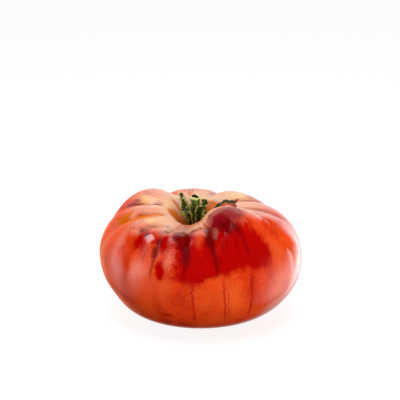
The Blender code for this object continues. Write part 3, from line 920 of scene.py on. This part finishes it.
def sepal_blade(name, tints, dries_from):
    """Wilted leaf: a soft dull surface, veined along its length, paler at the edges and brown where dry."""
    material, tree, shader = new_material(name)
    share, side, dryness, seed = (
        add(tree, KEPT, attribute_name=kept).outputs["Fac"]
        for kept in ("share", "side", "dryness", "seed")
    )
    place = add(tree, "ShaderNodeTexCoord").outputs["Object"]
    blotch = add(tree, NOISE, place, 1 / (1.6 * MM), 3.0, 0.6)
    down = add(tree, MATH, share, 0.5, operation="MULTIPLY")
    vein = add(tree, JOIN, side, down, seed)
    vein = add(tree, NOISE, vein, 5.0, 3.0, 0.6)
    shade = add(tree, RAMP, blotch, 0.35, 0.65, 0.0, 1.0)
    beside = add(tree, MATH, side, operation="ABSOLUTE")
    worn = add(tree, MATH, vein, 0.35, beside, operation="MULTIPLY_ADD")
    rim = add(tree, RAMP, worn, 0.95, 1.15, 0.0, 0.9)
    lines = add(tree, RAMP, vein, 0.60, 0.72, 0.0, 0.45)
    rim = add(tree, MATH, rim, lines, operation="MAXIMUM")
    dry = add(tree, MATH, share, dryness, operation="ADD")
    dry = add(tree, MATH, blotch, 0.5, dry, operation="MULTIPLY_ADD")
    dry = add(tree, RAMP, dry, dries_from, dries_from + 0.15, 0.0, 0.9)
    end = add(tree, RAMP, share, 0.78, 0.88, 0.0, 0.8)
    brittle = add(tree, RAMP, dryness, 0.8, 1.0, 0.0, end)
    colour = coated(tree, linear(tints[0]), zip((shade, rim, dry, brittle), tints[1:]))
    feed(tree, colour, shader.inputs["Base Color"])
    shader.inputs["Roughness"].default_value = 0.5
    shader.inputs["Specular IOR Level"].default_value = 0.15
    bump = add(tree, "ShaderNodeBump", 0.6, 0.2 * MM)
    feed(tree, vein, bump.inputs["Height"])
    feed(tree, bump, shader.inputs["Normal"])
    return material


blade_tree = sepal_tree()
# The colours are the dark and the light green, the edge, the dry part and its tip.
green_blade = sepal_blade("wilted_sepal", ("#141A03", "#46520A", "#C6CC5C", "#54400E", "#54400E"), 1.45)
brown_blade = sepal_blade("dried_sepal", ("#1C1A06", "#3E3A0C", "#7E6A2A", "#D2581A", "#6E120C"), 1.70)
# A sepal drier than this has the brown blade.
DRIED = 0.5
for seed, (name, ((foot_azimuth, swing, width, turn, dryness), places)) in enumerate(SEPALS.items()):
    line = bpy.data.meshes.new(name)
    corners = []
    for step, (out, up) in enumerate(places):
        azimuth = math.radians(foot_azimuth + swing * step / (len(places) - 1))
        corners.append(stem_foot + Vector((out * math.cos(azimuth), out * math.sin(azimuth), up)) * MM)
    line.from_pydata(corners, [(step, step + 1) for step in range(len(corners) - 1)], [])
    sizes = {"Width": width, "Turn": float(turn), "Dryness": dryness, "Seed": float(seed)}
    sizes["Blade"] = brown_blade if dryness > DRIED else green_blade
    sepal = made_by(name + "_blade", line, blade_tree, sizes)
    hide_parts(name)
    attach(sepal, "root")

# ---- Hairs -----------------------------------------------------------------------------------------
# The stalk and sepals are downy: short clear hairs stand all over them and catch the light at the edges.


def hair_tree():
    """Slim three-sided points scattered over a surface, each leaning its own way."""
    sizes = {
        "Surface": "Geometry",
        "Hairs Per Square Metre": 1.1e6,
        "Length": 0.7 * MM,
        "Thickness": 0.035 * MM,
        "Lean": 0.5,
        "Seed": 3,
        "Down": "Material",
    }
    tree, given, result = new_group("GeometryNodeTree", "downy hairs", sizes, "Hairs", "Geometry")
    roots = add(tree, "GeometryNodeDistributePointsOnFaces", given["Surface"])
    feed(tree, given["Hairs Per Square Metre"], roots.inputs["Density"])
    feed(tree, given["Seed"], roots.inputs["Seed"])
    hair = add(tree, "GeometryNodeMeshCone", 3, 1, 1, 0.0, given["Thickness"], given["Length"])
    low = add(tree, "FunctionNodeRandomValue", data_type="FLOAT_VECTOR")
    low.inputs["Min"].default_value = (-1.0, -1.0, -1.0)
    low.inputs["Max"].default_value = (1.0, 1.0, 1.0)
    feed(tree, given["Seed"], low.inputs["Seed"])
    lean = add(tree, VECTOR, low.outputs["Value"], given["Lean"], operation="SCALE")
    lean = add(tree, VECTOR, lean, roots.outputs["Normal"], operation="ADD")
    turn = add(tree, "FunctionNodeAlignRotationToVector", axis="Z")
    feed(tree, lean, turn.inputs["Vector"])
    size = add(tree, "FunctionNodeRandomValue", data_type="FLOAT")
    size.inputs[2].default_value = 0.5
    size.inputs[3].default_value = 1.2
    feed(tree, given["Seed"], size.inputs["Seed"])
    hairs = add(tree, "GeometryNodeInstanceOnPoints", roots.outputs["Points"])
    feed(tree, hair, hairs.inputs["Instance"])
    feed(tree, turn, hairs.inputs["Rotation"])
    feed(tree, size.outputs[1], hairs.inputs["Scale"])
    hand_over(tree, hairs, given["Down"], result)
    return tree


def clear_down():
    """Plant hairs: thin, clear and pale, bright where the light comes through, a little greener low down."""
    material, tree, shader = new_material("clear_down")
    place = add(tree, "ShaderNodeTexCoord").outputs["Object"]
    part = add(tree, SPLIT, place).outputs
    high = add(tree, RAMP, part["Z"], stem_foot.z, stem_foot.z + CUT_HEIGHT, 0.0, 1.0)
    colour = coated(tree, linear("#A8B460"), [(high, "#E6E8C4")])
    feed(tree, colour, shader.inputs["Base Color"])
    shader.inputs["Roughness"].default_value = 0.4
    return material


green = bmesh.new()
green.from_mesh(stub.data)
for name, ((*_, dryness), _) in SEPALS.items():
    if dryness < DRIED:
        green.from_mesh(bpy.data.meshes[name + "_blade"])
surface = bpy.data.meshes.new("green surface")
green.to_mesh(surface)
green.free()
hairs = made_by("downy_hairs", surface, hair_tree(), {"Down": clear_down()})
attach(hairs, "root")

# ---- Floor, light and camera -----------------------------------------------------------------------
# The tomato stands on a plain white floor that runs out into a white background, in soft studio light.

FLOOR_SIZE = 3.0


def white_floor():
    """A matt white sweep that glows a little, so that it runs out into white under a faint shadow."""
    material, _, shader = new_material("white_floor")
    shader.inputs["Base Color"].default_value = linear("#909090")
    shader.inputs["Roughness"].default_value = 0.9
    shader.inputs["Specular IOR Level"].default_value = 0.0
    shader.inputs["Emission Color"].default_value = linear("#FFFFFF")
    shader.inputs["Emission Strength"].default_value = 0.85
    return material


half = FLOOR_SIZE / 2
corners = [(-half, -half, 0), (half, -half, 0), (half, half, 0), (-half, half, 0)]
sweep = bpy.data.meshes.new("floor")
sweep.from_pydata(corners, [], [(0, 1, 2, 3)])
sweep.materials.append(white_floor())
floor = in_scene("floor", sweep)
floor.visible_glossy = False
floor.visible_diffuse = False

# The room, as a ray that leaves the tomato meets it: white behind, brighter still to the right, and dark at
# the front and below. A way is a ray's X, Y or Z, or its azimuth in degrees.
world = bpy.data.worlds.new("studio")
bpy.context.scene.world = world
world.use_nodes = True
sky = world.node_tree
ray = add(sky, "ShaderNodeTexCoord").outputs["Generated"]
ray = add(sky, SPLIT, ray).outputs
ways = {"X": ray["X"], "Y": ray["Y"], "Z": ray["Z"], "azimuth": azimuth_of(sky, ray)}
# The white starts well behind on the right, and comes round towards the front at the far left.
low = add(sky, RAMP, ways["Z"], 0.20, 0.0, 0.50, 0.80)
start = add(sky, RAMP, ways["X"], -0.6, -0.9, 0.0, low)
start = add(sky, MATH, ways["Y"], start, operation="ADD")
late = add(sky, RAMP, ways["X"], 0.4, 0.7, 0.0, 0.24)
start = add(sky, MATH, start, late, operation="SUBTRACT")
behind = add(sky, RAMP, start, 0.30, 0.74, 0.0, 1.3)
# On the right it is several times brighter, except high up, and a ray that goes well down meets the dark.
level = add(sky, RAMP, ways["Z"], 0.5, 0.2, 0.0, 5.2)
right = add(sky, RAMP, ways["X"], 0.45, 0.75, 0.0, level)
right = add(sky, MATH, right, 1.0, operation="ADD")
glow = add(sky, MATH, behind, right, 0.03, operation="MULTIPLY_ADD")
under = add(sky, RAMP, ways["Z"], -0.40, -0.80, 1.0, 0.03)
glow = add(sky, MATH, glow, under, operation="MULTIPLY")
# Soft panels: how bright each is, and its edges, as a way with where the panel starts along it and is full.
PANELS = (
    (0.9, (("azimuth", -176.0, -166.0), ("azimuth", -124.0, -134.0), ("Z", -0.55, 0.12), ("Z", 0.66, 0.50))),
    (2.4, (("X", 0.60, 0.85), ("Y", -0.45, 0.10), ("Z", -0.05, -0.40))),
    (1.3, (("X", 0.35, 0.55), ("Y", 0.30, 0.75), ("Z", 0.30, 0.0))),
    (1.3, (("X", -0.82, -0.95), ("Z", -0.55, -0.25), ("Z", 0.30, 0.18))),
)
# What stands behind on the left is warm, like more ripe fruit.
WARM_PANEL = (1.0, (("X", 0.2, -0.2), ("Y", 0.3, 0.6), ("Z", 0.50, 0.30)))


def soft_panel(bright, edges):
    """How bright a panel is for a ray, fading to nothing past its edges."""
    for way, outside, inside in edges:
        edge = add(sky, RAMP, ways[way], outside, inside, 0.0, 1.0)
        bright = add(sky, MATH, edge, bright, operation="MULTIPLY")
    return bright


glow = summed(sky, [glow] + [soft_panel(*panel) for panel in PANELS])
tint = coated(sky, linear("#FFFFFF"), [(soft_panel(*WARM_PANEL), "#FFA484")])
feed(sky, tint, sky.nodes["Background"].inputs["Color"])
feed(sky, glow, sky.nodes["Background"].inputs["Strength"])


def soft_light(name, place, aim, width, height, watts):
    """A soft box: a rectangle of light facing its aim."""
    light = bpy.data.lights.new(name, "AREA")
    light.shape = "RECTANGLE"
    light.size, light.size_y, light.energy = width, height, watts
    box = in_scene(name, light)
    box.location = place
    box.rotation_euler = (Vector(aim) - Vector(place)).to_track_quat("-Z", "Y").to_euler()
    return box


# The window shows as a highlight only, and the other two only light the tomato.
window = soft_light("window_box", (-0.39, -0.03, 0.63), (0.0, 0.0, 0.03), 0.46, 0.46, 7.6)
overhead = soft_light("overhead_box", (0.0, -0.12, 0.60), (0.0, 0.0, 0.03), 0.4, 0.4, 2.2)
fill = soft_light("front_fill", (0.42, -0.82, 0.15), (0.0, 0.0, 0.02), 0.9, 0.25, 7.6)
window.visible_diffuse = False
for soft in (overhead, fill):
    soft.visible_glossy = False
    soft.data.cycles.use_multiple_importance_sampling = False

CAMERA_TILT = math.radians(18)
CAMERA_AWAY = 0.7
VIEW_WIDTH = 0.189
# The middle of the fruit, and how far above it, up the picture, the camera aims.
MIDDLE = Vector((-0.24 * MM, 0.0, 28.0 * MM))
AIM_ABOVE = 26.46 * MM
camera = bpy.data.cameras.new("camera")
camera.sensor_width = 36.0
camera.lens = camera.sensor_width * CAMERA_AWAY / VIEW_WIDTH
camera.dof.use_dof = False
ahead = Vector((0.0, math.cos(CAMERA_TILT), -math.sin(CAMERA_TILT)))
upward = Vector((0.0, math.sin(CAMERA_TILT), math.cos(CAMERA_TILT)))
aim = MIDDLE + upward * AIM_ABOVE
viewer = in_scene("camera", camera)
viewer.matrix_world = Matrix.Translation(aim - ahead * CAMERA_AWAY) @ Matrix.Rotation(
    math.pi / 2 - CAMERA_TILT, 4, "X"
)
bpy.context.scene.camera = viewer
bpy.context.scene.view_settings.view_transform = "Standard"
